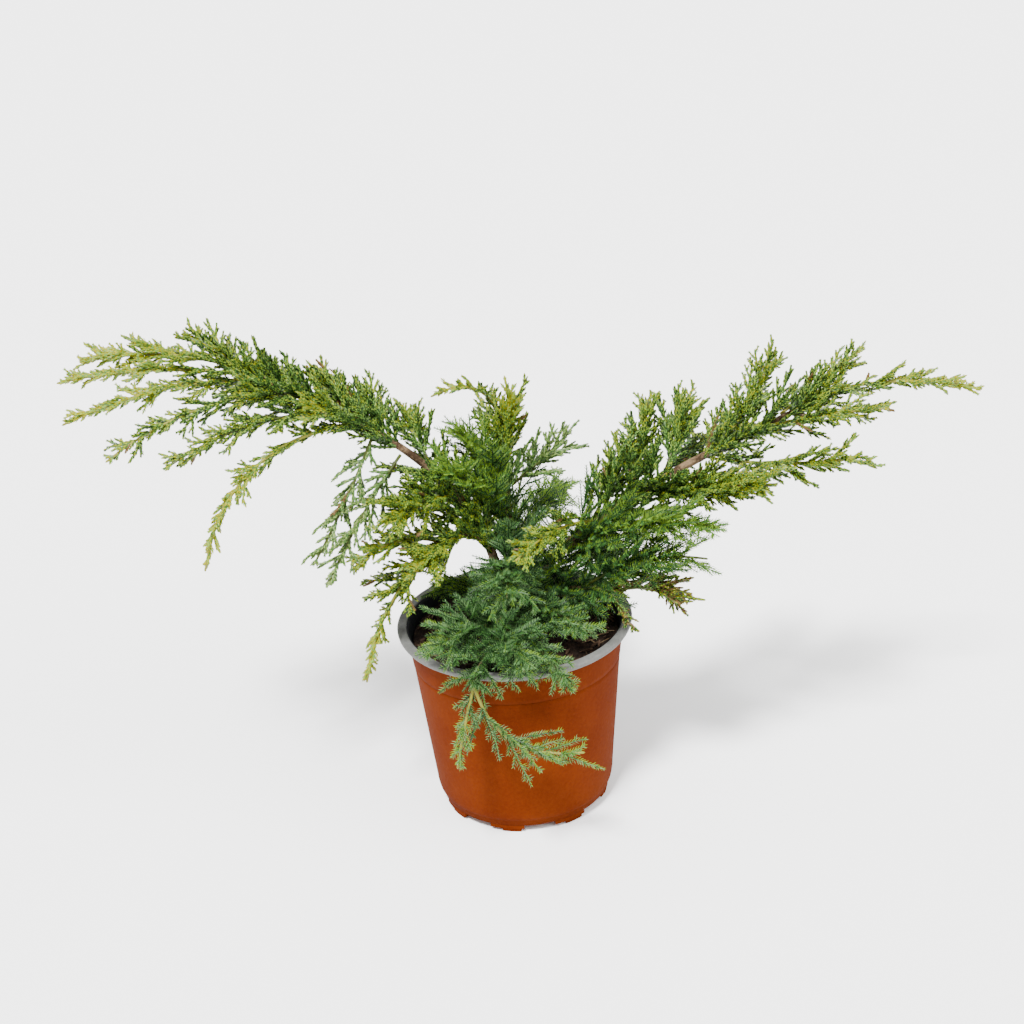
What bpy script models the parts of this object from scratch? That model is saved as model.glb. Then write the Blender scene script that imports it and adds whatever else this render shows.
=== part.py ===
"""Young spreading juniper in a nursery pot, as separate solids in one frame.

Millimetres in the tables below, metres in the meshes.  The pot's underside is
the plane z = 0 and the pot's axis is the Z axis.  The picture looks along +Y.
"""
import math

import bpy
import bmesh
import numpy as np

MM = 0.001

# Pot, read off the picture by fitting circles to its rim, creases and base
POT_TOP = 143.0          # top of the lip above the underside
LIP_R = 85.0             # outer radius of the lip
LIP_IN_R = 78.1          # inner radius of the lip's flat top
LIP_DROP = 4.5           # height of the lip's outer face
CREASE_Z = 115.0         # faint crease round the upper wall
CREASE_R = 75.2
SEAM_Z = 10.3            # seam round the foot of the wall
SEAM_R = 62.9
WALL_FOOT_R = 64.9       # where the straight wall would meet the seam
WALL_T = 1.2             # wall thickness
BASE_Z = 5.5             # underside of the base plate
FLOOR_Z = 8.0            # inside floor
PAD_R = 12.0             # centre pad level with the feet
FOOT_COUNT = 8
FOOT_TURN = -105.0       # middle of the first foot, degrees from +X
FOOT_IN_R, FOOT_OUT_R = 50.0, 61.6
LINER_FOOT_Z = 112.0     # lower edge of the grey inner band
SOIL_Z = 133.0           # top of the soil, 10 mm under the lip
CLEAR = 0.3              # gap between neighbouring solids
SEGMENTS = 36            # facets round the pot

# Twigs and blades
GAP = 0.40               # stem of a mass to its bough
STEM_R = 1.4             # stem of a mass at its foot
STEM_TIP_R = 0.8
TWIG_R = 1.0
STEM_STEPS = 6
ROOT_SINK = 0.25         # how far a blade's root lies behind the stem's middle
LONG_ARM = 31.0          # an arm this long branches again
KEEP_OFF = 0.45          # least gap between a blade and anything of another node
CORE_LEAST = 4.0         # a core that would have to be thinner is left out
CORE_KEEP_OFF = 0.6
WAIST = 0.42             # place of a blade's widest point between root and tip
HALF_WIDTH = (1.8, 0.145)    # of a blade at its waist: fixed part and share of its length
HALF_THICK = 1.7         # of a blade at its waist
BAND_IN_R = 76.0         # inside of the grey band, which blades keep off
LIMB_STEPS = 32          # steps of a limb's middle line

# Limbs: start, heading, turn of the heading, climb at the start, climb at the
# end (degrees), length, radius at the foot, radius at the tip, facets, steps
LIMBS = {
    "trunk": ((0, 4, 133.3), 88, 4, 86, 68, 150, 6.6, 1.6, 8, 12),
    "left_bough": ((-9, 4, 172), 188, -16, 86, 25, 262, 3.6, 1.5, 6, 14),
    "right_bough": ((9, 2, 165), -5, 16, 51, 19, 268, 4.2, 1.5, 6, 14),
    "low_left_bough": ((-12, -3, 192), 196, -6, 98, -58, 98, 2.4, 1.1, 6, 10),
    "low_right_bough": ((8, -5, 158), -22, 6, 42, -2, 74, 2.8, 1.3, 6, 6),
    "front_bough": ((-2, -7, 152), 256, -10, 34, -24, 93, 2.8, 1.4, 6, 8),
    "back_bough": ((1, 18, 160), 82, -10, 48, 8, 60, 2.6, 1.3, 6, 6),
}
FLARE = (4.2, 9.0)       # extra radius of the trunk at the soil, and how fast it fades

# Masses: bough, place along it, heading and climb of the tip seen from there,
# reach of the tip, bow of the stem, side arms, length of the longest arm,
# roundness of the spray, lift of its arms, radius of its core, colour
MASSES = {
    "left_tip_spray": ("left_bough", 1.00, 171, 2, 101, .06, 9, 30, .7, .1, 0, "gold"),
    "left_middle_spray": ("left_bough", .96, 181, 0, 122, .05, 8, 24, .5, 0, 0, "gold"),
    "left_lower_spray": ("left_bough", .92, 192, -7, 130, .06, 8, 26, .6, 0, 0, "gold"),
    "left_side_spray_a": ("left_bough", .84, 202, -12, 127, .08, 8, 26, .8, 0, 0, "lime"),
    "left_side_spray_b": ("left_bough", .70, 209, -5, 122, .08, 9, 28, .8, 0, 0, "green"),
    "left_hanging_spray": ("left_bough", .64, 206, -35, 143, .20, 8, 21, .8, 0, 0, "gold"),
    "left_crest_a": ("left_bough", .93, 151, 26, 53, .02, 8, 26, .9, .2, 0, "lime"),
    "left_crest_b": ("left_bough", .78, 156, 27, 35, .02, 8, 30, .9, .25, 0, "green"),
    "left_crest_c": ("left_bough", .64, 141, 41, 39, .02, 8, 30, .9, .25, 0, "green"),
    "left_crest_d": ("left_bough", .53, 136, 47, 36, .02, 8, 32, .9, .25, 0, "green"),
    "left_crest_e": ("left_bough", .41, 118, 57, 36, .02, 8, 32, .9, .25, 0, "green"),
    "left_cover_a": ("left_bough", .78, 207, 15, 43, .05, 9, 36, .9, .1, 0, "green"),
    "left_cover_b": ("left_bough", .57, 201, 30, 55, .05, 9, 38, .9, .15, 0, "green"),
    "left_back_spray_a": ("left_bough", .75, 126, -12, 124, .06, 9, 34, .7, 0, 0, "green"),
    "left_back_spray_b": ("left_bough", .58, 113, -9, 122, .06, 9, 34, .7, 0, 0, "green"),
    "weeping_spray_a": ("left_bough", .57, 212, -55, 101, -.02, 9, 26, .9, 0, 0, "blue"),
    "weeping_spray_b": ("left_bough", .48, 215, -48, 106, .03, 9, 30, .9, 0, 0, "blue"),
    "weeping_spray_c": ("low_left_bough", .55, 200, -4, 63, .15, 8, 24, .8, .1, 0, "lime"),
    "golden_weeping_spray": ("low_left_bough", .96, 207, -62, 74, .07, 7, 14, .7, -.2, 0, "gold"),
    "left_inner_spray": ("left_bough", .30, 224, 2, 60, .08, 9, 42, .9, 0, 8, "lime"),
    "low_inner_spray": ("low_left_bough", .38, 234, -6, 51, .08, 9, 36, .9, 0, 6, "lime"),
    "centre_tip_spray": ("trunk", 1.00, 207, 32, 61, .25, 7, 15, .9, .2, 0, "gold"),
    "centre_top_spray": ("trunk", .84, 328, 76, 49, .04, 9, 29, .9, .2, 0, "gold"),
    "centre_left_spray": ("trunk", .62, 211, 61, 75, .06, 9, 40, .9, .2, 8, "green"),
    "centre_fan_spray": ("trunk", .50, 223, 48, 89, .10, 9, 42, .9, .2, 8, "green"),
    "centre_right_spray": ("trunk", .70, 2, 37, 57, -.02, 9, 34, .9, .1, 0, "blue"),
    "centre_back_spray": ("back_bough", 1.00, 64, -5, 88, .10, 9, 34, .8, 0, 9, "green"),
    "back_left_spray": ("trunk", .13, 150, 0, 67, .10, 9, 36, .8, 0, 8, "green"),
    "right_tip_spray": ("right_bough", 1.00, 4, -6, 100, .06, 9, 22, .6, .1, 0, "gold"),
    "right_crest_a": ("right_bough", .83, 25, 28, 74, -.02, 9, 28, .9, .2, 0, "lime"),
    "right_crest_b": ("right_bough", .68, 42, 47, 71, -.02, 9, 30, .9, .25, 0, "lime"),
    "right_crest_c": ("right_bough", .50, 59, 51, 54, -.02, 9, 38, .9, .25, 0, "green"),
    "right_crest_d": ("right_bough", .40, 62, 64, 68, -.02, 9, 31, .9, .25, 0, "green"),
    "right_crest_e": ("right_bough", .28, 44, 55, 51, -.02, 9, 34, .9, .25, 0, "green"),
    "right_side_spray_a": ("right_bough", .80, 340, 11, 81, .02, 8, 28, .8, 0, 0, "lime"),
    "right_side_spray_b": ("right_bough", .62, 340, 3, 109, -.04, 9, 38, .9, 0, 0, "lime"),
    "right_cover_spray": ("right_bough", .42, 328, 12, 97, .02, 9, 44, .9, .1, 8, "green"),
    "right_inner_spray": ("right_bough", .20, 330, 14, 113, .08, 9, 44, .9, 0, 10, "green"),
    "right_low_spray_a": ("low_right_bough", .72, 343, 19, 88, .10, 9, 46, .9, .1, 9, "green"),
    "right_low_spray_b": ("low_right_bough", 1.00, 347, -6, 46, .10, 8, 30, .8, 0, 6, "brown"),
    "right_back_spray_a": ("right_bough", .47, 53, -7, 151, .08, 9, 36, .7, 0, 0, "green"),
    "right_back_spray_b": ("right_bough", .22, 68, -46, 94, .04, 9, 48, .8, 0, 8, "green"),
    "lime_sprig": ("right_bough", .27, 229, 5, 88, .08, 8, 30, .8, 0, 0, "lime"),
    "front_spray_a": ("front_bough", 1.00, 349, -36, 90, -.24, 9, 48, .8, .1, 0, "blue"),
    "front_spray_b": ("front_bough", .93, 228, -67, 66, .02, 7, 18, .7, 0, 0, "blue"),
    "front_left_spray": ("front_bough", .50, 217, 7, 47, .14, 9, 40, .9, 0, 8, "blue"),
    "front_right_spray": ("front_bough", .42, 311, -19, 75, .12, 9, 26, .9, 0, 8, "blue"),
    "front_middle_spray": ("front_bough", .20, 334, -4, 66, .12, 9, 30, .9, 0, 8, "blue"),
    "front_centre_spray": ("front_bough", .62, 301, -4, 44, .20, 9, 36, .9, 0, 8, "blue"),
    "front_upper_spray": ("trunk", .36, 267, 4, 75, .12, 9, 52, .9, 0, 11, "blue"),
}

# Open places of the crown: the picture's sky shows along the line from the
# eye through each of these points, in a pencil of the radius given last
EYE = np.array([3.6, -1143.9, 760.9])
SKY = [(-28, 0, 205, 6), (-35, 0, 196, 7), (-41, 0, 187, 5), (-10, 0, 196, 2.6),
       (-64, 0, 179, 5), (49, 20, 232, 3.5), (190, 5, 255, 5), (131, -20, 194, 5),
       (96, -30, 167, 5), (-54, -10, 212, 2.5)]

COLOURS = {
    "terracotta": (0.46, 0.115, 0.035), "lip_grey": (0.30, 0.30, 0.30),
    "soil": (0.035, 0.02, 0.014), "bark": (0.20, 0.11, 0.06),
    "gold": (0.42, 0.40, 0.04), "lime": (0.20, 0.32, 0.04), "green": (0.07, 0.20, 0.03),
    "blue": (0.06, 0.18, 0.09), "brown": (0.16, 0.15, 0.05),
}
UP = np.array([0.0, 0.0, 1.0])
GOLDEN = 137.5           # degrees from one arm to the next


def unit(v):
    """A vector divided by its length."""
    return v / np.linalg.norm(v)


def aim(heading, climb):
    """Direction of a heading (from +X towards +Y) and a climb, in degrees."""
    h, c = math.radians(heading), math.radians(climb)
    return np.array([math.cos(c) * math.cos(h), math.cos(c) * math.sin(h), math.sin(c)])


def limb_path(limb, n=LIMB_STEPS + 1):
    """A limb's middle line: steps whose climb eases from its first to its last value."""
    start, heading, turn, climb0, climb1, length = LIMBS[limb][:6]
    m = (np.arange(n - 1) + 0.5) / (n - 1)
    c = np.radians(climb1 + (climb0 - climb1) * (1 - m) ** 2)
    h = np.radians(heading + turn * m)
    d = np.stack([np.cos(c) * np.cos(h), np.cos(c) * np.sin(h), np.sin(c)], -1)
    return np.vstack([start, start + np.cumsum(d, 0) * length / (n - 1)])


def along(path, u):
    """Point and direction at the share u of a path."""
    k = u * (len(path) - 1)
    i = min(int(k), len(path) - 2)
    return path[i] + (path[i + 1] - path[i]) * (k - i), unit(path[i + 1] - path[i])


def limb_radius(limb, u):
    """Straight taper, with the root flare added at the foot of the trunk."""
    foot, tip, length = LIMBS[limb][6], LIMBS[limb][7], LIMBS[limb][5]
    r = foot + (tip - foot) * u
    return r + FLARE[0] * math.exp(-u * length / FLARE[1]) if limb == "trunk" else r


def stem_path(mass):
    """Bowed line from just off the bough to the tip of the mass."""
    limb, place, heading, climb, length, bow = MASSES[mass][:6]
    foot, t = along(limb_path(limb), place)
    r = limb_radius(limb, place)
    d = aim(heading, climb)
    tip = foot + d * length
    rise = unit(UP - d * d[2])
    first = unit(d + 4 * bow * rise)
    if place > 0.99:
        tilt = math.sqrt(max(0.0, 1 - (first @ t) ** 2))
        foot = foot + first * (GAP + (r + STEM_R) * tilt)
    else:
        foot = foot + unit(first - t * (first @ t)) * (r + STEM_R + GAP)
    u = np.linspace(0, 1, STEM_STEPS + 1)[:, None]
    return foot + (tip - foot) * u + rise * (4 * bow * length * u * (1 - u))


def arms(mass, path, rng):
    """Side arms by the golden angle round the stem, shorter towards the tip: a list of
    root, direction, the stem's own direction there and length."""
    heading, count, reach, flat, lift = [MASSES[mass][k] for k in (2, 6, 7, 8, 9)]
    phase = rng.uniform(0, 360)
    out = []
    for i in range(count):
        u = 0.12 + 0.78 * (i + 0.5) / count + rng.uniform(-0.02, 0.02)
        p, t = along(path, u)
        side = np.cross(t, UP)
        side = unit(side if np.linalg.norm(side) > 0.2 else np.cross(t, aim(heading, 0)))
        roll = math.radians(phase + GOLDEN * i)
        lean = math.radians(rng.uniform(36, 52) - 10 * u)
        out_of = math.cos(roll) * side + flat * math.sin(roll) * np.cross(side, t)
        d = unit(math.cos(lean) * t + math.sin(lean) * out_of + lift * UP)
        size = reach * (1 - 0.55 * u ** 1.6) * (0.72 + 0.28 * min(1, u / 0.25))
        out.append((p, d, t, size * rng.uniform(0.85, 1.1)))
    return out


def blade(p, d, t, size, rng):
    """A flat pointed shoot: root, tip, half width and half thickness."""
    n = np.cross(d, t + 0.3 * UP)
    n = unit(n if np.linalg.norm(n) > 0.1 else np.cross(d, np.array([1.0, 0, 0])))
    a = rng.uniform(-0.9, 0.9)
    w = np.cross(n, d)
    n, w = math.cos(a) * n + math.sin(a) * w, math.cos(a) * w - math.sin(a) * n
    half = HALF_WIDTH[0] + HALF_WIDTH[1] * size
    return p - d * ROOT_SINK, p + d * size, w * half, n * HALF_THICK


def shoots(p, d, t, size, rng):
    """A short arm is one blade; a long one is a twig with three blades."""
    if size < LONG_ARM:
        return None, [blade(p, d, t, size, rng)]
    mid = p + d * size * 0.5
    out = [blade(mid - d * 2.0, unit(d + 0.25 * t), d, size * 0.52 + 2, rng)]
    w = unit(np.cross(unit(np.cross(d, t)), d))
    for k, s in ((0.45, 1), (0.30, -1)):
        out.append(blade(p + d * size * k, unit(0.8 * d + s * 0.6 * w), d, size * 0.44, rng))
    return (p, mid), out


def blade_lines(b):
    """A blade as six lines with a radius each, for the gap test."""
    root, tip, w, n = b
    m = root + (tip - root) * WAIST
    return [(root, tip, HALF_THICK), (root, m + w, 0.9), (m + w, tip, 0.9), (root, m - w, 0.9),
            (m - w, tip, 0.9), (m + w * 0.55, m - w * 0.55, 1.2)]


def line_gap(a0, a1, b0, b1):
    """Distance from one line to each of many (all of finite length)."""
    d1, d2, r = a1 - a0, b1 - b0, a0 - b0
    a, e, f, c, b = d1 @ d1, (d2 * d2).sum(-1), (d2 * r).sum(-1), r @ d1, d2 @ d1
    den = a * e - b * b
    s = np.where(den > 1e-9, np.clip((b * f - c * e) / np.where(den > 1e-9, den, 1), 0, 1), 0)
    t = (b * s + f) / np.maximum(e, 1e-12)
    s = np.where(t < 0, np.clip(-c / a, 0, 1), np.where(t > 1, np.clip((b - c) / a, 0, 1), s))
    q = a0 + s[:, None] * d1 - (b0 + np.clip(t, 0, 1)[:, None] * d2)
    return np.sqrt((q * q).sum(-1))


def off_pot(a, b, r):
    """True where a line keeps clear of the soil and of the lip."""
    q = a + (b - a) * np.linspace(0, 1, 7)[:, None]
    rad, z = np.hypot(q[:, 0], q[:, 1]), q[:, 2]
    low = (rad < LIP_IN_R) & (z < SOIL_Z + r + 1.0)
    lip = (rad > BAND_IN_R - r) & (rad < LIP_R + r + 0.8) & (z < POT_TOP + r + 0.8)
    return not (low | lip).any()


def off_sky(a, b, r):
    """True where a line stays out of the open places of the crown."""
    for x, y, z, size in SKY:
        o = np.array([x, y, z], float)
        ray = unit(o - EYE)
        if line_gap(a, b, (o - ray * 400)[None], (o + ray * 400)[None])[0] < r + size:
            return False
    return True


class Field:
    """All lines placed so far, each with its radius and its owner."""

    def __init__(self):
        self.rows = []

    def add(self, lines, owner):
        self.rows += [(a, b, r, owner) for a, b, r in lines]

    def others(self, owner):
        rows = [row for row in self.rows if row[3] != owner]
        return (np.array([q[0] for q in rows]), np.array([q[1] for q in rows]),
                np.array([q[2] for q in rows]))


def fits(lines, others, least):
    """True where all lines keep off the others by the least gap, and off pot and sky."""
    a, b, r = others
    return all((line_gap(p, q, a, b) - r).min() - s > least and off_pot(p, q, s)
               and off_sky(p, q, s) for p, q, s in lines)


def apart(b, blades):
    """True where the outer part of a blade stays off the other blades of its mass."""
    outer = [outer_lines(other) for other in blades]
    if not outer:
        return True
    p0 = np.array([q[0] for lines in outer for q in lines])
    p1 = np.array([q[1] for lines in outer for q in lines])
    return all(line_gap(p, q, p0, p1).min() > 1.5 for p, q in outer_lines(b))


def outer_lines(b):
    """The edges and the middle of a blade's outer part."""
    root, tip, w, n = b
    m = root + (tip - root) * WAIST
    return [(m + w, tip), (m - w, tip), (m, tip), (m + w, m - w)]


def grow():
    """Stems first, then cores, then arms and blades that keep clear of all others."""
    field = Field()
    for limb in LIMBS:
        path = limb_path(limb)
        field.add([(path[i], path[i + 1], limb_radius(limb, i / LIMB_STEPS))
                   for i in range(LIMB_STEPS)], limb)
    stems = {mass: stem_path(mass) for mass in MASSES}
    for mass, path in stems.items():
        field.add([(path[i], path[i + 1], STEM_R - 0.1 * i) for i in range(STEM_STEPS)], mass)
    cores = {}
    for mass in MASSES:
        r = MASSES[mass][10]
        if r:
            marks = [along(stems[mass], u)[0] for u in (0.18, 0.36, 0.60, 0.80)]
            others = field.others(mass)
            while r > CORE_LEAST and not fits([(marks[1], marks[2], r)], others, CORE_KEEP_OFF):
                r -= 0.5
            if r > CORE_LEAST:
                cores[mass] = (marks, r)
                field.add([(marks[1], marks[2], r), (marks[0], marks[3], r * 0.5)], mass)
    plants = {}
    for k, mass in enumerate(MASSES):
        rng = np.random.RandomState(100 + k)
        path, others = stems[mass], field.others(mass)
        end = unit(path[-1] - path[-2])
        size = 12 + 0.05 * MASSES[mass][4]
        plan = [(None, [blade(path[-1] - end * (size - 3), end, UP, size, rng)])]
        plan += [shoots(p, d, t, s, rng) for p, d, t, s in arms(mass, path, rng)]
        twigs, blades = [], []
        for twig, leaves in plan:
            if twig and not fits([(twig[0], twig[1], TWIG_R)], others, KEEP_OFF):
                continue
            kept = []
            for b in leaves:
                if fits(blade_lines(b), others, KEEP_OFF) and apart(b, blades + kept):
                    kept.append(b)
            if twig and kept:
                twigs.append(twig)
            blades += kept
        field.add([(a, b, TWIG_R) for a, b in twigs], mass)
        for b in blades:
            field.add(blade_lines(b), mass)
        plants[mass] = (path, twigs, blades, cores.get(mass))
    return plants


def material(name):
    """The plain material of a colour, made the first time that it is asked for."""
    mat = bpy.data.materials.get(name)
    if mat is None:
        mat = bpy.data.materials.new(name)
        mat.use_nodes = True
        shader = mat.node_tree.nodes["Principled BSDF"]
        shader.inputs["Base Color"].default_value = (*COLOURS[name], 1)
        shader.inputs["Roughness"].default_value = 0.6
        mat.diffuse_color = (*COLOURS[name], 1)
    return mat


def solid(name, points, faces, colour, home=None):
    """A mesh object from points in millimetres."""
    mesh = bpy.data.meshes.new(name)
    mesh.from_pydata([[c * MM for c in p] for p in points], [], [list(f) for f in faces])
    bm = bmesh.new()
    bm.from_mesh(mesh)
    bmesh.ops.recalc_face_normals(bm, faces=bm.faces)
    bm.to_mesh(mesh)
    bm.free()
    mesh.materials.append(material(colour))
    ob = bpy.data.objects.new(name, mesh)
    (home or bpy.context.scene.collection).objects.link(ob)
    return ob


def turned(name, profile, colour, home=None):
    """Solid of revolution from a profile of (radius, height), first and last on the axis
    for a filled solid, or a closed loop for a ring."""
    filled = profile[0][0] == 0
    ring = [p for p in profile if p[0] > 0]
    points, faces, n = [], [], SEGMENTS
    for r, z in ring:
        points += [(r * math.cos(2 * math.pi * k / n), r * math.sin(2 * math.pi * k / n), z)
                   for k in range(n)]
    rows = len(ring)
    for j in range(rows if not filled else rows - 1):
        a, b = j * n, ((j + 1) % rows) * n
        faces += [(a + k, a + (k + 1) % n, b + (k + 1) % n, b + k) for k in range(n)]
    if filled:
        faces += [tuple(range(n))[::-1], tuple(range((rows - 1) * n, rows * n))]
    return solid(name, points, faces, colour, home)


def tube(name, path, radii, sides, colour, home=None, flat_foot=False):
    """A closed tapering tube of a few sides along a path, ends cut flat."""
    path = np.asarray(path, float)
    step = np.diff(path, axis=0)
    t = np.vstack([step[:1], step[:-1] + step[1:], step[-1:]])
    t /= np.linalg.norm(t, axis=1)[:, None]
    if flat_foot:
        t[0] = UP
    side = unit(np.cross(t[0], [0.31, 0.95, 0.05]))
    points, faces = [], []
    for p, d, r in zip(path, t, radii):
        side = unit(side - d * (side @ d))
        other = np.cross(d, side)
        for k in range(sides):
            a = 2 * math.pi * k / sides
            points.append(p + r * (math.cos(a) * side + math.sin(a) * other))
    for j in range(len(path) - 1):
        a = j * sides
        faces += [(a + k, a + (k + 1) % sides, a + sides + (k + 1) % sides, a + sides + k)
                  for k in range(sides)]
    faces += [tuple(range(sides))[::-1],
              tuple(range((len(path) - 1) * sides, len(path) * sides))]
    return solid(name, points, faces, colour, home)


def blade_solid(name, b, colour, home):
    """Six faces: two points joined over a three-sided waist, flat below and ridged above."""
    root, tip, w, n = b
    m = root + (tip - root) * WAIST
    points = [root, m + w - n * 0.5, m - w - n * 0.5, m + n, tip]
    faces = [(0, 1, 2), (0, 2, 3), (0, 3, 1), (4, 2, 1), (4, 3, 2), (4, 1, 3)]
    return solid(name, points, faces, colour, home)


def core_solid(name, marks, r, colour, home):
    """A six-sided spindle between four points of the stem."""
    sides = 6
    t = unit(marks[3] - marks[0])
    side = unit(np.cross(t, [0.31, 0.95, 0.05]))
    other = np.cross(t, side)
    points = [marks[0]]
    for p in (marks[1], marks[2]):
        points += [p + r * (math.cos(a) * side + math.sin(a) * other)
                   for a in np.arange(sides) * 2 * math.pi / sides]
    points.append(marks[3])
    faces = [(0, 1 + k, 1 + (k + 1) % sides) for k in range(sides)]
    faces += [(1 + k, 1 + (k + 1) % sides, 7 + (k + 1) % sides, 7 + k) for k in range(sides)]
    faces += [(13, 7 + (k + 1) % sides, 7 + k) for k in range(sides)]
    return solid(name, points, faces, colour, home)


def joined(ob, home, solver):
    """The mesh of one union of a solid with all the solids of a collection."""
    mod = ob.modifiers.new("join", "BOOLEAN")
    mod.operation = "UNION"
    mod.operand_type = "COLLECTION"
    mod.collection = home
    mod.solver = solver
    bpy.context.view_layer.update()
    shaped = ob.evaluated_get(bpy.context.evaluated_depsgraph_get())
    mesh = bpy.data.meshes.new_from_object(shaped)
    ob.modifiers.clear()
    return mesh


def closed(mesh):
    """True for a mesh whose every edge has two faces and that holds a volume."""
    bm = bmesh.new()
    bm.from_mesh(mesh)
    good = all(e.is_manifold for e in bm.edges) and bm.calc_volume(signed=True) > 0
    bm.free()
    return good


def fuse(ob, home):
    """Union by the exact solver, or by the manifold one where that leaves it open."""
    mesh = joined(ob, home, "EXACT")
    if not closed(mesh):
        mesh = joined(ob, home, "MANIFOLD")
    old, ob.data = ob.data, mesh
    bpy.data.meshes.remove(old)
    for part in list(home.objects):
        bpy.data.objects.remove(part, do_unlink=True)
    bpy.data.collections.remove(home)
    tidy(ob)


def tidy(ob):
    """Triangulate and drop loose scraps smaller than the main body."""
    bm = bmesh.new()
    bm.from_mesh(ob.data)
    bmesh.ops.triangulate(bm, faces=bm.faces)
    left, bodies = set(bm.verts), []
    while left:
        queue, body = [left.pop()], set()
        while queue:
            v = queue.pop()
            body.add(v)
            for e in v.link_edges:
                w = e.other_vert(v)
                if w in left:
                    left.discard(w)
                    queue.append(w)
        bodies.append(body)
    bodies.sort(key=len)
    for body in bodies[:-1]:
        bmesh.ops.delete(bm, geom=list(body), context="VERTS")
    bm.normal_update()
    bm.to_mesh(ob.data)
    bm.free()


def parts_home():
    """A new collection for the solids that one union joins."""
    home = bpy.data.collections.new("parts of one node")
    bpy.context.scene.collection.children.link(home)
    return home


def sector(name, r0, r1, z0, z1, mid, span, colour, home, steps=2):
    """A block between two radii, two heights and two bearings."""
    bearings = [math.radians(mid - span / 2 + span * k / steps) for k in range(steps + 1)]
    loop = [(r1 * math.cos(a), r1 * math.sin(a)) for a in bearings]
    loop += [(r0 * math.cos(a), r0 * math.sin(a)) for a in reversed(bearings)]
    n = len(loop)
    points = [(x, y, z0) for x, y in loop] + [(x, y, z1) for x, y in loop]
    faces = [tuple(range(n)), tuple(range(n, 2 * n))]
    faces += [(k, (k + 1) % n, n + (k + 1) % n, n + k) for k in range(n)]
    return solid(name, points, faces, colour, home)


def wall_r(z):
    """Outer radius of the wall at a height."""
    if z > CREASE_Z:
        return CREASE_R + 0.3 + 2.7 * (z - CREASE_Z) / (POT_TOP - LIP_DROP - CREASE_Z)
    return WALL_FOOT_R + (CREASE_R - WALL_FOOT_R) * (z - SEAM_Z) / (CREASE_Z - SEAM_Z)


def make_pot():
    """Pot with its ring of feet, the lip with its inner band, and the soil."""
    under_lip = POT_TOP - LIP_DROP
    top = under_lip - CLEAR
    shell = [(0, 0), (PAD_R, 0), (PAD_R + 1, BASE_Z), (SEAM_R - 1.0, BASE_Z),
             (SEAM_R - 0.9, SEAM_Z - 0.3), (SEAM_R, SEAM_Z + 0.2), (SEAM_R + 1.6, SEAM_Z + 2.0),
             (wall_r(SEAM_Z + 6), SEAM_Z + 6), (CREASE_R, CREASE_Z),
             (CREASE_R + 0.3, CREASE_Z + 0.3), (wall_r(top), top), (wall_r(top) - WALL_T, top),
             (CREASE_R - WALL_T, CREASE_Z - 0.5), (SEAM_R + 1.0, SEAM_Z + 3.2),
             (SEAM_R - 1.5, FLOOR_Z), (0, FLOOR_Z)]
    ob = turned("pot", shell, "terracotta")
    home = parts_home()
    for k in range(FOOT_COUNT):
        mid = FOOT_TURN + 360.0 * k / FOOT_COUNT
        sector("foot", FOOT_IN_R, FOOT_OUT_R, 2.4, BASE_Z + 1, mid, 23.5, "terracotta", home)
        sector("toe", FOOT_IN_R + 1.0, FOOT_OUT_R - 0.6, 0, BASE_Z + 1.2, mid + 3, 13,
               "terracotta", home)
    fuse(ob, home)
    inner = wall_r(top) - WALL_T - CLEAR
    low = CREASE_R - WALL_T - CLEAR - 0.2
    lip = [(LIP_IN_R, POT_TOP), (LIP_R - 0.7, POT_TOP), (LIP_R, POT_TOP - 0.8),
           (LIP_R - 1.6, under_lip), (inner, under_lip),
           (low, LINER_FOOT_Z), (low - 0.8, LINER_FOOT_Z),
           (inner - 0.9, top - 1.5)]
    turned("pot_lip", lip, "lip_grey")
    soil = [(0, 0), (SEAM_R - 1.9, FLOOR_Z + CLEAR), (SEAM_R + 0.6, SEAM_Z + 3.4),
            (low - 1.2, LINER_FOOT_Z - 1), (inner - 1.8, SOIL_Z)]
    turned("soil", soil, "soil")


def make_limbs():
    """Trunk and boughs as tapering tubes, the trunk's steps closer near its flare."""
    for limb, row in LIMBS.items():
        sides, steps = row[8], row[9]
        path = limb_path(limb)
        marks = np.linspace(0, 1, steps + 1)
        if limb == "trunk":
            marks = marks ** 1.25
        points = [along(path, u)[0] for u in marks]
        radii = [limb_radius(limb, u) for u in marks]
        tube(limb, points, radii, sides, "bark", flat_foot=limb == "trunk")


def make_masses():
    """Each mass: its stem, twigs, blades and core as one closed solid."""
    for mass, (path, twigs, blades, core) in grow().items():
        colour = MASSES[mass][11]
        radii = np.linspace(STEM_R, STEM_TIP_R, len(path))
        ob = tube(mass, path, radii, 3, colour)
        home = parts_home()
        for a, b in twigs:
            tube("twig", [a, b], [TWIG_R, TWIG_R * 0.8], 3, colour, home)
        for b in blades:
            blade_solid("blade", b, colour, home)
        if core:
            core_solid("core", core[0], core[1], colour, home)
        fuse(ob, home)


for thing in list(bpy.data.objects):
    bpy.data.objects.remove(thing, do_unlink=True)
bpy.context.scene.unit_settings.system = "METRIC"
make_pot()
make_limbs()
make_masses()
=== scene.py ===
import math

import bpy
import numpy as np
from mathutils import Matrix, Vector


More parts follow.
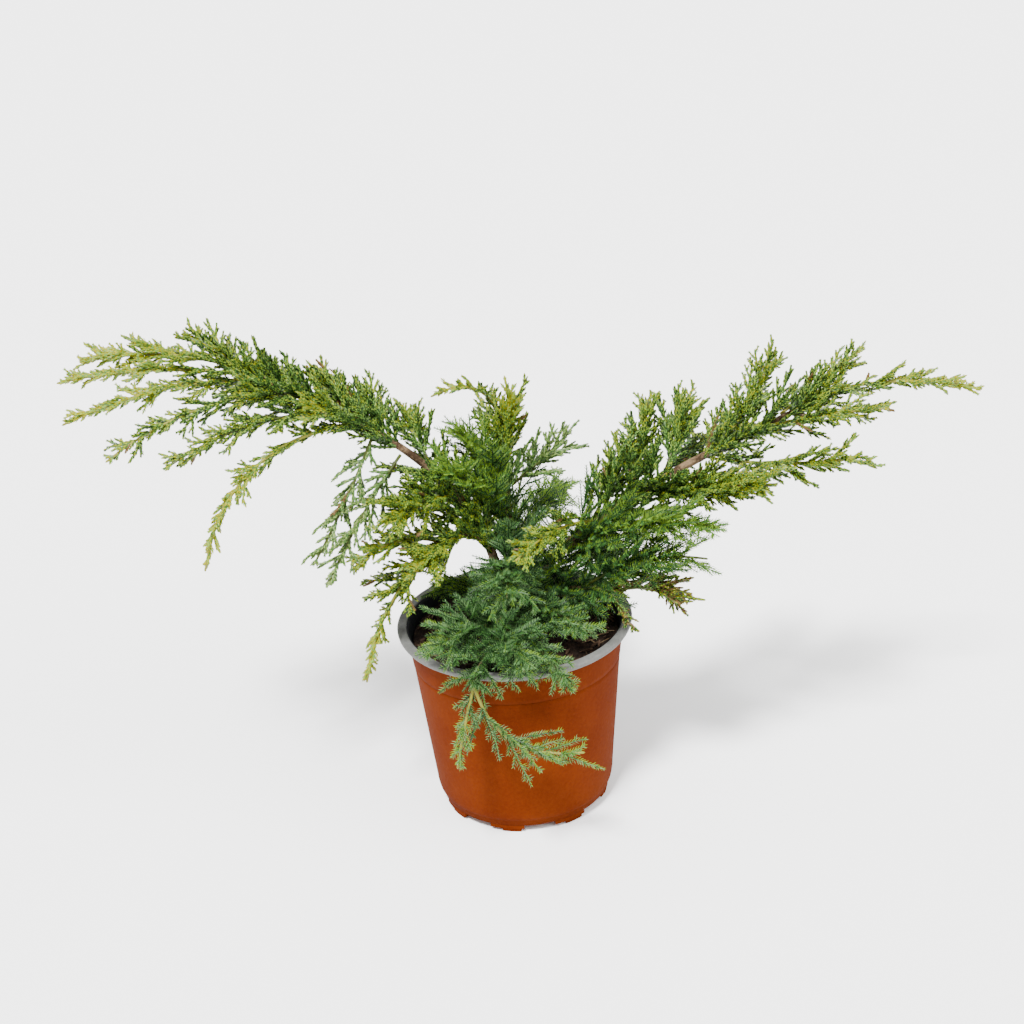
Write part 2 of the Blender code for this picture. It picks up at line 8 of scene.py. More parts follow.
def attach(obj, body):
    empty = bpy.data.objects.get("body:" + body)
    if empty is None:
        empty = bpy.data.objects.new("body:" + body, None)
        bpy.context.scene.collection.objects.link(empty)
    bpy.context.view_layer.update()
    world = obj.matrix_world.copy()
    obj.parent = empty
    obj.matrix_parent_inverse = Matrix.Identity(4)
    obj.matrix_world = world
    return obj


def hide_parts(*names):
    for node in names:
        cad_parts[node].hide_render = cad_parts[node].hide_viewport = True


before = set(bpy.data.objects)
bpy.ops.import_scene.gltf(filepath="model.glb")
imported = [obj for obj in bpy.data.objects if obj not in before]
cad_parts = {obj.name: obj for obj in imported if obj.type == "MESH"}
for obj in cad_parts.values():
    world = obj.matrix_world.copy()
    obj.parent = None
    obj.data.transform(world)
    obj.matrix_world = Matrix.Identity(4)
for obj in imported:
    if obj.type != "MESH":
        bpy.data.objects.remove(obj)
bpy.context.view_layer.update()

MM = 0.001
UP = np.array([0.0, 0.0, 1.0])
GOLDEN = 137.5

# The named sizes of the solids, in millimetres
POT_TOP, LIP_R, LIP_IN_R, LIP_DROP = 143.0, 85.0, 78.1, 4.5
CREASE_Z, CREASE_R, SEAM_Z, SEAM_R, WALL_FOOT_R, WALL_T = 115.0, 75.2, 10.3, 62.9, 64.9, 1.2
BASE_Z, PAD_R, FOOT_COUNT, FOOT_TURN = 5.5, 12.0, 8, -105.0
SOIL_Z = 133.0
GAP, STEM_R, FLARE = 0.40, 1.4, (4.2, 9.0)
LONG_ARM = 28.0

# Limbs: start, heading, turn, climb at the start and the end, length, radii
LIMBS = {
    "trunk": ((0, 4, 133.3), 88, 4, 86, 68, 150, 6.6, 1.6),
    "left_bough": ((-9, 4, 172), 188, -16, 86, 25, 262, 3.6, 1.5),
    "right_bough": ((9, 2, 165), -5, 16, 51, 19, 268, 4.2, 1.5),
    "low_left_bough": ((-12, -3, 192), 196, -6, 98, -58, 98, 2.4, 1.1),
    "low_right_bough": ((8, -5, 158), -22, 6, 42, -2, 74, 2.8, 1.3),
    "front_bough": ((-2, -7, 152), 256, -10, 34, -24, 93, 2.8, 1.4),
    "back_bough": ((1, 18, 160), 82, -10, 48, 8, 60, 2.6, 1.3),
}

# Masses: bough, place, heading, climb, reach, bow, arms, longest arm, roundness, lift,
# core of the solid, kind of foliage
MASSES = {
    "left_tip_spray": ("left_bough", 1.00, 171, 2, 101, 0.06, 9, 30, 0.7, 0.1, 0, "gold"),
    "left_middle_spray": ("left_bough", 0.96, 181, 0, 122, 0.05, 8, 24, 0.5, 0, 0, "gold"),
    "left_lower_spray": ("left_bough", 0.92, 192, -7, 130, 0.06, 8, 26, 0.6, 0, 0, "gold"),
    "left_side_spray_a": ("left_bough", 0.84, 202, -12, 127, 0.08, 8, 26, 0.8, 0, 0, "lime"),
    "left_side_spray_b": ("left_bough", 0.70, 209, -5, 122, 0.08, 9, 28, 0.8, 0, 0, "green"),
    "left_hanging_spray": ("left_bough", 0.64, 206, -35, 143, 0.20, 8, 21, 0.8, 0, 0, "gold"),
    "left_crest_a": ("left_bough", 0.93, 151, 26, 53, 0.02, 8, 26, 0.9, 0.2, 0, "lime"),
    "left_crest_b": ("left_bough", 0.78, 156, 27, 35, 0.02, 8, 30, 0.9, 0.25, 0, "green"),
    "left_crest_c": ("left_bough", 0.64, 141, 41, 39, 0.02, 8, 30, 0.9, 0.25, 0, "green"),
    "left_crest_d": ("left_bough", 0.53, 136, 47, 36, 0.02, 8, 32, 0.9, 0.25, 0, "green"),
    "left_crest_e": ("left_bough", 0.41, 118, 57, 36, 0.02, 8, 32, 0.9, 0.25, 0, "green"),
    "left_cover_a": ("left_bough", 0.78, 207, 15, 43, 0.05, 9, 36, 0.9, 0.1, 0, "green"),
    "left_cover_b": ("left_bough", 0.57, 201, 30, 55, 0.05, 9, 38, 0.9, 0.15, 0, "green"),
    "left_back_spray_a": ("left_bough", 0.75, 126, -12, 124, 0.06, 9, 34, 0.7, 0, 0, "green"),
    "left_back_spray_b": ("left_bough", 0.58, 113, -9, 122, 0.06, 9, 34, 0.7, 0, 0, "green"),
    "weeping_spray_a": ("left_bough", 0.57, 212, -55, 101, -0.02, 9, 26, 0.9, 0, 0, "thin"),
    "weeping_spray_b": ("left_bough", 0.48, 215, -48, 106, 0.03, 9, 30, 0.9, 0, 0, "thin"),
    "weeping_spray_c": ("low_left_bough", 0.55, 200, -4, 63, 0.15, 8, 24, 0.8, 0.1, 0, "lime"),
    "golden_weeping_spray": ("low_left_bough", 0.96, 207, -62, 74, 0.07, 7, 14, 0.7, -0.2, 0, "gold"),
    "left_inner_spray": ("left_bough", 0.30, 224, 2, 60, 0.08, 9, 42, 0.9, 0, 8, "lime"),
    "low_inner_spray": ("low_left_bough", 0.38, 234, -6, 51, 0.08, 9, 36, 0.9, 0, 6, "lime"),
    "centre_tip_spray": ("trunk", 1.00, 207, 32, 61, 0.25, 7, 15, 0.9, 0.2, 0, "gold"),
    "centre_top_spray": ("trunk", 0.84, 328, 76, 49, 0.04, 9, 29, 0.9, 0.2, 0, "gold"),
    "centre_left_spray": ("trunk", 0.62, 211, 61, 75, 0.06, 9, 40, 0.9, 0.2, 8, "fern"),
    "centre_fan_spray": ("trunk", 0.50, 223, 48, 89, 0.1, 9, 42, 0.9, 0.2, 8, "fern"),
    "centre_right_spray": ("trunk", 0.70, 2, 37, 57, -0.02, 9, 34, 0.9, 0.1, 0, "thin"),
    "centre_back_spray": ("back_bough", 1.00, 64, -5, 88, 0.1, 9, 34, 0.8, 0, 9, "fern"),
    "back_left_spray": ("trunk", 0.13, 150, 0, 67, 0.1, 9, 36, 0.8, 0, 8, "fern"),
    "right_tip_spray": ("right_bough", 1.00, 4, -6, 100, 0.06, 9, 22, 0.6, 0.1, 0, "gold"),
    "right_crest_a": ("right_bough", 0.83, 25, 28, 74, -0.02, 9, 28, 0.9, 0.2, 0, "lime"),
    "right_crest_b": ("right_bough", 0.68, 42, 47, 71, -0.02, 9, 30, 0.9, 0.25, 0, "lime"),
    "right_crest_c": ("right_bough", 0.50, 59, 51, 54, -0.02, 9, 38, 0.9, 0.25, 0, "green"),
    "right_crest_d": ("right_bough", 0.40, 62, 64, 68, -0.02, 9, 31, 0.9, 0.25, 0, "green"),
    "right_crest_e": ("right_bough", 0.28, 44, 55, 51, -0.02, 9, 34, 0.9, 0.25, 0, "green"),
    "right_side_spray_a": ("right_bough", 0.80, 340, 11, 81, 0.02, 8, 28, 0.8, 0, 0, "lime"),
    "right_side_spray_b": ("right_bough", 0.62, 340, 3, 109, -0.04, 9, 38, 0.9, 0, 0, "lime"),
    "right_cover_spray": ("right_bough", 0.42, 328, 12, 97, 0.02, 9, 44, 0.9, 0.1, 8, "green"),
    "right_inner_spray": ("right_bough", 0.20, 330, 14, 113, 0.08, 9, 44, 0.9, 0, 10, "fern"),
    "right_low_spray_a": ("low_right_bough", 0.72, 343, 19, 88, 0.1, 9, 46, 0.9, 0.1, 9, "fern"),
    "right_low_spray_b": ("low_right_bough", 1.00, 347, -6, 46, 0.1, 8, 30, 0.8, 0, 6, "brown"),
    "right_back_spray_a": ("right_bough", 0.47, 53, -7, 151, 0.08, 9, 36, 0.7, 0, 0, "green"),
    "right_back_spray_b": ("right_bough", 0.22, 68, -46, 94, 0.04, 9, 48, 0.8, 0, 8, "fern"),
    "lime_sprig": ("right_bough", 0.27, 229, 5, 88, 0.08, 8, 30, 0.8, 0, 0, "lime"),
    "front_spray_a": ("front_bough", 1.00, 349, -36, 90, -0.24, 9, 48, 0.8, 0.1, 0, "wisp"),
    "front_spray_b": ("front_bough", 0.93, 228, -67, 66, 0.02, 7, 18, 0.7, 0, 0, "wisp"),
    "front_left_spray": ("front_bough", 0.50, 217, 7, 47, 0.14, 9, 40, 0.9, 0, 8, "blue"),
    "front_right_spray": ("front_bough", 0.42, 311, -19, 75, 0.12, 9, 26, 0.9, 0, 8, "blue"),
    "front_middle_spray": ("front_bough", 0.20, 334, -4, 66, 0.12, 9, 30, 0.9, 0, 8, "blue"),
    "front_centre_spray": ("front_bough", 0.62, 301, -4, 44, 0.2, 9, 36, 0.9, 0, 8, "blue"),
    "front_upper_spray": ("trunk", 0.36, 267, 4, 75, 0.12, 9, 52, 0.9, 0, 11, "blue"),
}
EYE = np.array([3.6, -1143.9, 760.9])
SKY = [(-28, 0, 205, 6), (-35, 0, 196, 7), (-41, 0, 187, 5), (-10, 0, 196, 2.6),
       (-64, 0, 179, 5), (49, 20, 232, 3.5), (190, 5, 255, 5), (131, -20, 194, 5),
       (96, -30, 167, 5), (-54, -10, 212, 2.5)]
DENSER = 0.42                    # gap of the arms in a mass with a core, as a share
STUB_GAP = 5.0
LIMB_GAP = 2.6
# Leafy stretches of the limbs: from and to as a share of the length, and arm length
LEAFY = {"left_bough": [(0.10, 0.40, 32), (0.50, 1.0, 26)],
         "right_bough": [(0.03, 0.27, 42), (0.29, 0.45, 48), (0.60, 0.80, 34), (0.85, 1.0, 24)],
         "trunk": [(0.04, 0.30, 50), (0.30, 1.0, 34)], "low_left_bough": [(0.05, 1.0, 30)],
         "low_right_bough": [(0.05, 0.55, 46), (0.55, 1.0, 36)], "front_bough": [(0.05, 1.0, 30)],
         "back_bough": [(0.10, 1.0, 32)]}
# Foliage colours from the oldest to the youngest, as plain base colours; they are also dealt out
# as painted shade on the cords and painted light on upward-facing leaves
ADULT_COLOURS = {
    "scale_dark": (0.013, 0.034, 0.006), "scale_deep": (0.039, 0.092, 0.016),
    "scale_green": (0.084, 0.172, 0.030), "scale_fresh": (0.146, 0.238, 0.034),
    "scale_lime": (0.186, 0.248, 0.016), "scale_gold": (0.212, 0.216, 0.003),
    "scale_amber": (0.255, 0.222, 0.003), "scale_brown": (0.095, 0.058, 0.018),
    "scale_slate": (0.040, 0.090, 0.022), "scale_grey": (0.085, 0.155, 0.034),
    "scale_mist": (0.165, 0.235, 0.060),
}
YOUNG_COLOURS = {
    "needle_dark": (0.009, 0.028, 0.007), "needle_deep": (0.025, 0.072, 0.016),
    "needle_green": (0.048, 0.120, 0.026), "needle_blue": (0.060, 0.132, 0.044),
    "needle_pale": (0.112, 0.200, 0.072), "needle_fresh": (0.120, 0.210, 0.020),
}
TWIG_COLOURS = {
    "twigs_green": (0.0400, 0.0525, 0.0080), "twigs_gold": (0.1500, 0.1450, 0.0150),
}
# Kind of foliage: leaf form, age at a mass's foot and at its tip from deep green at 0 to
# gold at 1, the gaps of the arms along a stem and of the side shoots along an arm, how far
# the arms lean out, least and most, and a side shoot's least length, its share of the arm
# beyond it and its most
KINDS = {
    "gold": ("scale", 0.42, 0.92, 6.0, 3.3, (20, 34), (4.2, 0.34, 12.0)),
    "lime": ("scale", 0.34, 0.68, 5.6, 4.0, (22, 38), (4.2, 0.42, 15.0)),
    "green": ("scale", 0.25, 0.67, 4.8, 3.8, (18, 40), (4.0, 0.42, 15.0)),
    "brown": ("scale", 0.24, 0.54, 5.2, 3.8, (26, 46), (4.0, 0.42, 14.0)),
    "thin": ("scale", 0.22, 0.62, 5.6, 5.6, (28, 52), (4.5, 0.34, 12.0)),
    "fern": ("awl", 0.27, 0.69, 4.0, 6.0, (14, 36), (5.0, 0.50, 20.0)),
    "blue": ("awl", 0.28, 0.72, 4.0, 6.0, (28, 50), (5.0, 0.50, 20.0)),
    "wisp": ("awl", 0.38, 0.80, 7.5, 5.0, (28, 46), (3.0, 0.20, 8.0)),
}
SCALE_LEAF = (3.0, 1.8, 0.60)    # length, width and thickness
NEEDLE = (3.9, 0.95, 0.40)
CORD_R = (1.10, 0.65)            # radius of a scaly cord without its leaves, foot and tip
DEAD, DEAD_SHARE = 7, 0.013      # place of brown among the adult colours; share of dead shoots


# Vectors and paths

def unit(v):
    """Each vector divided by its length."""
    return v / np.maximum(np.linalg.norm(v, axis=-1, keepdims=True), 1e-9)


def aim(heading, climb):
    """Direction of a heading and a climb in degrees."""
    h, c = math.radians(heading), math.radians(climb)
    return np.array([math.cos(c) * math.cos(h), math.cos(c) * math.sin(h), math.sin(c)])


def limb_path(limb, n=33):
    """Middle line of a limb: equal steps, the climb easing as the square of what is left."""
    start, heading, turn, climb0, climb1, length = LIMBS[limb][:6]
    m = (np.arange(n - 1) + 0.5) / (n - 1)
    c = np.radians(climb1 + (climb0 - climb1) * (1 - m) ** 2)
    h = np.radians(heading + turn * m)
    d = np.stack([np.cos(c) * np.cos(h), np.cos(c) * np.sin(h), np.sin(c)], -1)
    return np.vstack([start, start + np.cumsum(d, 0) * length / (n - 1)])


def along(path, u):
    """Point and direction at the share u of a path of equal steps."""
    k = u * (len(path) - 1)
    i = min(int(k), len(path) - 2)
    return path[i] + (path[i + 1] - path[i]) * (k - i), unit(path[i + 1] - path[i])


def limb_radius(limb, u):
    """Straight taper; the trunk adds a flare that fades with height as exp(-h/9)."""
    foot, tip, length = LIMBS[limb][6], LIMBS[limb][7], LIMBS[limb][5]
    r = foot + (tip - foot) * u
    return r + FLARE[0] * np.exp(-u * length / FLARE[1]) if limb == "trunk" else r


def stem_curve(mass):
    """Stem of a mass as root, first and second coefficient of u: root + a u + b u u."""
    limb, place, heading, climb, length, bow = MASSES[mass][:6]
    foot, t = along(limb_path(limb), place)
    r = limb_radius(limb, place)
    d = aim(heading, climb)
    tip = foot + d * length
    rise = unit(UP - d * d[2])
    first = unit(d + 4 * bow * rise)
    if place > 0.99:
        tilt = math.sqrt(max(0.0, 1 - float(first @ t) ** 2))
        foot = foot + first * (GAP + (r + STEM_R) * tilt)
    else:
        foot = foot + unit(first - t * (first @ t)) * (r + STEM_R + GAP)
    bend = rise * (4 * bow * length)
    return foot, tip - foot + bend, -bend


def solid_arms(mass, rng):
    """The solids' own arms: golden-angle turns round the stem, shorter towards the tip."""
    heading, count, reach, flat, lift = [MASSES[mass][k] for k in (2, 6, 7, 8, 9)]
    root, a, b = stem_curve(mass)
    steps = np.linspace(0, 1, 7)[:, None]
    path = root + a * steps + b * steps ** 2
    phase = rng.uniform(0, 360)
    rows = []
    for i in range(count):
        u = 0.12 + 0.78 * (i + 0.5) / count + rng.uniform(-0.02, 0.02)
        p, t = along(path, u)
        side = np.cross(t, UP)
        side = unit(side if np.linalg.norm(side) > 0.2 else np.cross(t, aim(heading, 0)))
        roll = math.radians(phase + GOLDEN * i)
        lean = math.radians(rng.uniform(36, 52) - 10 * u)
        out_of = math.cos(roll) * side + flat * math.sin(roll) * np.cross(side, t)
        d = unit(math.cos(lean) * t + math.sin(lean) * out_of + lift * UP)
        size = reach * (1 - 0.55 * u ** 1.6) * (0.72 + 0.28 * min(1, u / 0.25))
        rows.append((p, d * size * rng.uniform(0.85, 1.1), t, u))
    return rows


class Cords:
    """Many curved shoots at once: point = root + a s + b s s, with s from 0 to 1; u is the
    place along the mass and rank 0 a stem, 1 an arm, 2 a side shoot, 3 a stub."""

    def __init__(self, root, a, b, u, mass, rank):
        self.root, self.a, self.b, self.u, self.mass = root, a, b, u, mass
        self.rank = np.full(len(root), rank) if np.isscalar(rank) else rank

    def __len__(self):
        return len(self.root)

    def length(self):
        return np.linalg.norm(self.a + self.b, axis=1)

    def at(self, rows, s):
        s = s[:, None]
        return self.root[rows] + self.a[rows] * s + self.b[rows] * s * s

    def heading(self, rows, s):
        return unit(self.a[rows] + 2 * self.b[rows] * s[:, None])

    def pick(self, rows):
        return Cords(*[getattr(self, k)[rows] for k in ("root", "a", "b", "u", "mass", "rank")])

    def plus(self, other):
        return Cords(*[np.concatenate([getattr(self, k), getattr(other, k)])
                       for k in ("root", "a", "b", "u", "mass", "rank")])


def stations(parent, gap, span, rng):
    """Rows and shares along the parents: one place every gap millimetres, a little uneven."""
    count = np.maximum(1, (parent.length() * (span[1] - span[0]) / gap + 0.5).astype(int))
    rows = np.repeat(np.arange(len(parent)), count)
    k = np.arange(len(rows)) - np.repeat(np.cumsum(count) - count, count)
    s = span[0] + (span[1] - span[0]) * (k + 0.5 + rng.uniform(-0.3, 0.3, len(rows))) / count[rows]
    return rows, k, s


def sides_of(t):
    """Two directions square to t, the second one pointing as far up as it can."""
    side = np.cross(t, UP)
    flat = np.linalg.norm(side, axis=1) < 0.15
    side[flat] = np.cross(t[flat], [0.9, 0.3, 0.0])
    side = unit(side)
    return side, np.cross(side, t)


def lean_out(parent, rows, s, roll, lean, flat, lift, rng):
    """Parent's heading t and the side shoots' own, leaning from it all round by roll."""
    t = parent.heading(rows, s)
    side, up = sides_of(t)
    tilt = np.radians(rng.uniform(lean[0], lean[1], len(rows)))[:, None]
    flat = np.broadcast_to(flat, (len(rows),))[:, None]
    lift = np.broadcast_to(lift, (len(rows),))[:, None]
    out_of = np.cos(roll)[:, None] * side + flat * np.sin(roll)[:, None] * up
    return t, unit(np.cos(tilt) * t + np.sin(tilt) * out_of + lift * UP)


def arm_size(u):
    """Share of the longest arm at the place u: 1 - .80 u^1.4, less near the foot."""
    return (1 - 0.80 * u ** 1.4) * (0.72 + 0.28 * np.minimum(1, u / 0.25))


def in_place(cords, margin):
    """Keeps cords clear of soil, lip and wall and out of the places where sky shows."""
    good = np.ones(len(cords), bool)
    rows = np.arange(len(cords))
    for share in np.linspace(0, 1, 11):
        p = cords.at(rows, np.full(len(cords), share))
        rad, z = np.hypot(p[:, 0], p[:, 1]), p[:, 2]
        good &= ~((rad < LIP_R + margin) & (z < SOIL_Z + margin))
        good &= ~((rad > LIP_IN_R - 1 - margin) & (rad < LIP_R + margin) & (z < POT_TOP + margin))
        good &= z > 2
        for x, y, z0, size in SKY:
            o = np.array([x, y, z0], float)
            ray = unit(o - EYE)
            off = np.linalg.norm(np.cross(p - o, ray), axis=1)
            good &= ~((off < size) & (np.abs((p - o) @ ray) < 200))
    return cords.pick(good)


def limb_arms(names, rng):
    """Arms and short shoots straight from the limbs between the masses' feet, each of them
    part of the mass with the nearest foot; none where the photo shows bark."""
    found = []
    for limb, spans in LEAFY.items():
        path, length = limb_path(limb, 65), LIMBS[limb][5]
        near = [k for k, n in enumerate(names) if MASSES[n][0] == limb]
        feet = np.array([MASSES[names[k]][1] for k in near])
        for first, last, size in spans:
            for rank, gap, grown, lean in ((1, LIMB_GAP, size, (38, 62)), (2, 1.3, 9.0, (20, 42)),
                                           (3, 0.7, 4.5, (8, 22))):
                count = int((last - first) * length / gap)
                turn = rng.uniform(0, 360)
                for i in range(count):
                    u = first + (last - first) * (i + rng.uniform(0.2, 0.8)) / count
                    p, t = along(path, u)
                    side = np.cross(t, UP)
                    side = unit(side if np.linalg.norm(side) > 0.2 else np.cross(t, [1.0, 0, 0]))
                    roll = math.radians(turn + GOLDEN * i)
                    out = math.cos(roll) * side + math.sin(roll) * np.cross(side, t)
                    tilt = math.radians(rng.uniform(*lean))
                    d = unit(math.cos(tilt) * t + math.sin(tilt) * out + 0.25 * (rank == 1) * UP)
                    own = grown * rng.uniform(0.7, 1.15)
                    k = near[int(np.abs(feet - u).argmin())]
                    found.append((p + out * limb_radius(limb, u) * 0.8, (d - t * 0.08) * own,
                                  t * own * 0.16, 0.12, k, rank))
    return Cords(*[np.array([row[i] for row in found]) for i in range(6)])


def place_leaves(cords, pitch, whorl, start, step, lean, size, core, rng):
    """Closed four-faced leaves round the cords, in whorls that turn by a step from one to
    the next: a base edge on the core, an outer shoulder and a tip that leans outwards."""
    count = np.maximum(1, (cords.length() / pitch + 0.5).astype(int))
    rows = np.repeat(np.arange(len(cords)), count * whorl)
    k = np.arange(len(rows)) - np.repeat((np.cumsum(count) - count) * whorl, count * whorl)
    ring = k // whorl
    s = (ring + 0.5 + rng.uniform(-0.08, 0.08, len(rows))) / count[rows]
    t = cords.heading(rows, s)
    side, up = sides_of(t)
    roll = start[rows] + 2 * np.pi * (k % whorl) / whorl + step * ring \
        + rng.normal(0, 0.08, len(rows))
    out = np.cos(roll)[:, None] * side + np.sin(roll)[:, None] * up
    across = np.cross(t, out)
    fade = 1 - 0.45 * s ** 3
    tilt = np.radians(rng.uniform(lean[0], lean[1], len(rows)) * (1 - 0.45 * s ** 2))[:, None]
    length = (size[0] * rng.uniform(0.85, 1.12, len(rows)) * fade)[:, None]
    width = (size[1] * fade)[:, None]
    p = cords.at(rows, s) + out * (0.8 * (core[0] + (core[1] - core[0]) * s))[:, None]
    d = np.cos(tilt) * t + np.sin(tilt) * out
    n = np.cos(tilt) * out - np.sin(tilt) * t
    corners = [p + across * width / 2, p - across * width / 2,
               p + d * length * 0.45 + n * (size[2] * fade)[:, None], p + d * length]
    # The last value, how far each leaf's outer side faces up, is what the foliage turns into painted
    # light.
    return np.stack(corners, 1), rows, s, out[:, 2]


# Meshes from whole arrays

def put_mesh(name, points, faces, material, smooth=True):
    """Mesh object from points in millimetres and equal-sided faces, as arrays."""
    points, faces = np.asarray(points, float), np.asarray(faces, np.int32)
    mesh = bpy.data.meshes.new(name)
    mesh.vertices.add(len(points))
    mesh.vertices.foreach_set("co", (points * MM).astype(np.float32).ravel())
    mesh.loops.add(faces.size)
    mesh.loops.foreach_set("vertex_index", faces.ravel())
    mesh.polygons.add(len(faces))
    mesh.polygons.foreach_set("loop_start", np.arange(0, faces.size, faces.shape[1], dtype=np.int32))
    mesh.polygons.foreach_set("use_smooth", np.full(len(faces), smooth))
    mesh.update(calc_edges=True)
    mesh.validate()
    mesh.materials.append(material)
    ob = bpy.data.objects.new(name, mesh)
    bpy.context.scene.collection.objects.link(ob)
    return ob


def join_quads(parts):
    """One array of points and one of faces from several grids."""
    points, faces, at = [], [], 0
    for p, f in parts:
        points.append(p)
        faces.append(f + at)
        at += len(p)
    return np.vstack(points), np.vstack(faces)


def grid_faces(rows, cols, closed):
    """Four-sided faces of a grid of rows by cols points, cols closed into a ring or not."""
    i, j = np.meshgrid(np.arange(rows - 1), np.arange(cols if closed else cols - 1), indexing="ij")
    j2 = (j + 1) % cols
    return np.stack([i * cols + j, i * cols + j2, (i + 1) * cols + j2, (i + 1) * cols + j],
                    -1).reshape(-1, 4)


def ripple(x, y, z, seed, waves=10, low=0.5, high=3.0):
    """Smooth noise: a sum of sine waves of random heading and pitch, between -1 and 1."""
    rng = np.random.RandomState(seed)
    total, weight = np.zeros(np.broadcast(x, y, z).shape), 0.0
    for k in range(waves):
        f = low * (high / low) ** (k / max(1, waves - 1))
        d = unit(rng.normal(size=3)) * f
        w = 1 / math.sqrt(f)
        total += w * np.sin(d[0] * x + d[1] * y + d[2] * z + rng.uniform(0, 6.28))
        weight += w
    return 2.2 * total / weight


def turned_mesh(name, profile, material, relief=None, segments=192):
    """Surface of revolution: the closed profile of radius and height carried round Z,
    moved along the radius by the relief, a function of bearing and profile place."""
    profile = np.asarray(profile, float)
    angle = 2 * np.pi * np.arange(segments) / segments
    a, k = np.meshgrid(angle, np.arange(len(profile)), indexing="ij")
    r, z = profile[k, 0], profile[k, 1]
    if relief is not None:
        r, z = relief(a, r, z)
    points = np.stack([r * np.cos(a), r * np.sin(a), z], -1).reshape(-1, 3)
    n = len(profile)
    i, j = np.meshgrid(np.arange(segments), np.arange(n), indexing="ij")
    i2, j2 = (i + 1) % segments, (j + 1) % n
    faces = np.stack([i * n + j, i2 * n + j, i2 * n + j2, i * n + j2], -1).reshape(-1, 4)
    return put_mesh(name, points, faces, material)


def fine(profile, step=1.5):
    """The same closed outline with more points on its long sides."""
    out = []
    for (r0, z0), (r1, z1) in zip(profile, profile[1:] + profile[:1]):
        n = max(1, int(math.hypot(r1 - r0, z1 - z0) / step))
        out += [(r0 + (r1 - r0) * k / n, z0 + (z1 - z0) * k / n) for k in range(n)]
    return out


# Shader helpers

def nodes_of(material):
    material.use_nodes = True
    tree = material.node_tree
    return tree, tree.nodes["Principled BSDF"]


def new_group(name, inputs, outputs):
    """An empty node group with named sockets, its inputs' defaults set."""
    tree = bpy.data.node_groups.new(name, "ShaderNodeTree")
    for label, kind, value in inputs:
        socket = tree.interface.new_socket(label, in_out="INPUT", socket_type=kind)
        socket.default_value = value
    for label, kind in outputs:
        tree.interface.new_socket(label, in_out="OUTPUT", socket_type=kind)
    return tree, tree.nodes.new("NodeGroupInput"), tree.nodes.new("NodeGroupOutput")


def math_node(tree, operation, a, b):
    node = tree.nodes.new("ShaderNodeMath")
    node.operation = operation
    for socket, value in ((node.inputs[0], a), (node.inputs[1], b)):
        if isinstance(value, (int, float)):
            socket.default_value = value
        else:
            tree.links.new(value, socket)
    return node.outputs[0]


def mottle_group():
    """Colour that wanders between two tones with two sizes of noise, and a height."""
    tree, given, out = new_group(
        "mottle",
        [("Tone", "NodeSocketColor", (0.5, 0.5, 0.5, 1)), ("Other", "NodeSocketColor", (0.4, 0.4, 0.4, 1)),
         ("Broad", "NodeSocketFloat", 40.0), ("Fine", "NodeSocketFloat", 300.0),
         ("Reach", "NodeSocketFloat", 1.0)],
        [("Colour", "NodeSocketColor"), ("Height", "NodeSocketFloat")])
    place = tree.nodes.new("ShaderNodeTexCoord")
    broad, small = tree.nodes.new("ShaderNodeTexNoise"), tree.nodes.new("ShaderNodeTexNoise")
    for noise, label in ((broad, "Broad"), (small, "Fine")):
        tree.links.new(place.outputs["Object"], noise.inputs["Vector"])
        tree.links.new(given.outputs[label], noise.inputs["Scale"])
        noise.inputs["Detail"].default_value = 4.0
    mix = tree.nodes.new("ShaderNodeMix")
    mix.data_type = "RGBA"
    both = math_node(tree, "ADD", math_node(tree, "MULTIPLY", broad.outputs["Fac"], 0.65),
                     math_node(tree, "MULTIPLY", small.outputs["Fac"], 0.35))
    centred = math_node(tree, "MULTIPLY", math_node(tree, "SUBTRACT", both, 0.5), 4.0)
    share = math_node(tree, "ADD", math_node(tree, "MULTIPLY", centred, given.outputs["Reach"]), 0.5)
    clamp = tree.nodes.new("ShaderNodeClamp")
    tree.links.new(share, clamp.inputs["Value"])
    tree.links.new(clamp.outputs[0], mix.inputs["Factor"])
    tree.links.new(given.outputs["Tone"], mix.inputs["A"])
    tree.links.new(given.outputs["Other"], mix.inputs["B"])
    tree.links.new(mix.outputs["Result"], out.inputs["Colour"])
    tree.links.new(small.outputs["Fac"], out.inputs["Height"])
    return tree


def mottled(name, tone, other, broad, small, reach, rough, bump, group, shine=0.12):
    """A matt material on the mottle group, its fine noise also its bump."""
    material = bpy.data.materials.new(name)
    tree, shader = nodes_of(material)
    node = tree.nodes.new("ShaderNodeGroup")
    node.node_tree = group
    for label, value in (("Tone", (*tone, 1)), ("Other", (*other, 1)), ("Broad", broad),
                         ("Fine", small), ("Reach", reach)):
        node.inputs[label].default_value = value
    relief = tree.nodes.new("ShaderNodeBump")
    relief.inputs["Strength"].default_value = bump
    relief.inputs["Distance"].default_value = 0.0006
    tree.links.new(node.outputs["Height"], relief.inputs["Height"])
    tree.links.new(relief.outputs[0], shader.inputs["Normal"])
    tree.links.new(node.outputs["Colour"], shader.inputs["Base Color"])
    shader.inputs["Roughness"].default_value = rough
    shader.inputs["Specular IOR Level"].default_value = shine
    material.diffuse_color = (*tone, 1)
    return material


def plain(name, colour, shine):
    """A leaf or twig colour, one of several dealt out by spray."""
    material = bpy.data.materials.new(name)
    tree, shader = nodes_of(material)
    shader.inputs["Base Color"].default_value = (*colour, 1)
    shader.inputs["Roughness"].default_value = 0.42
    shader.inputs["Specular IOR Level"].default_value = shine
    material.diffuse_color = (*colour, 1)
    return material


# The plant

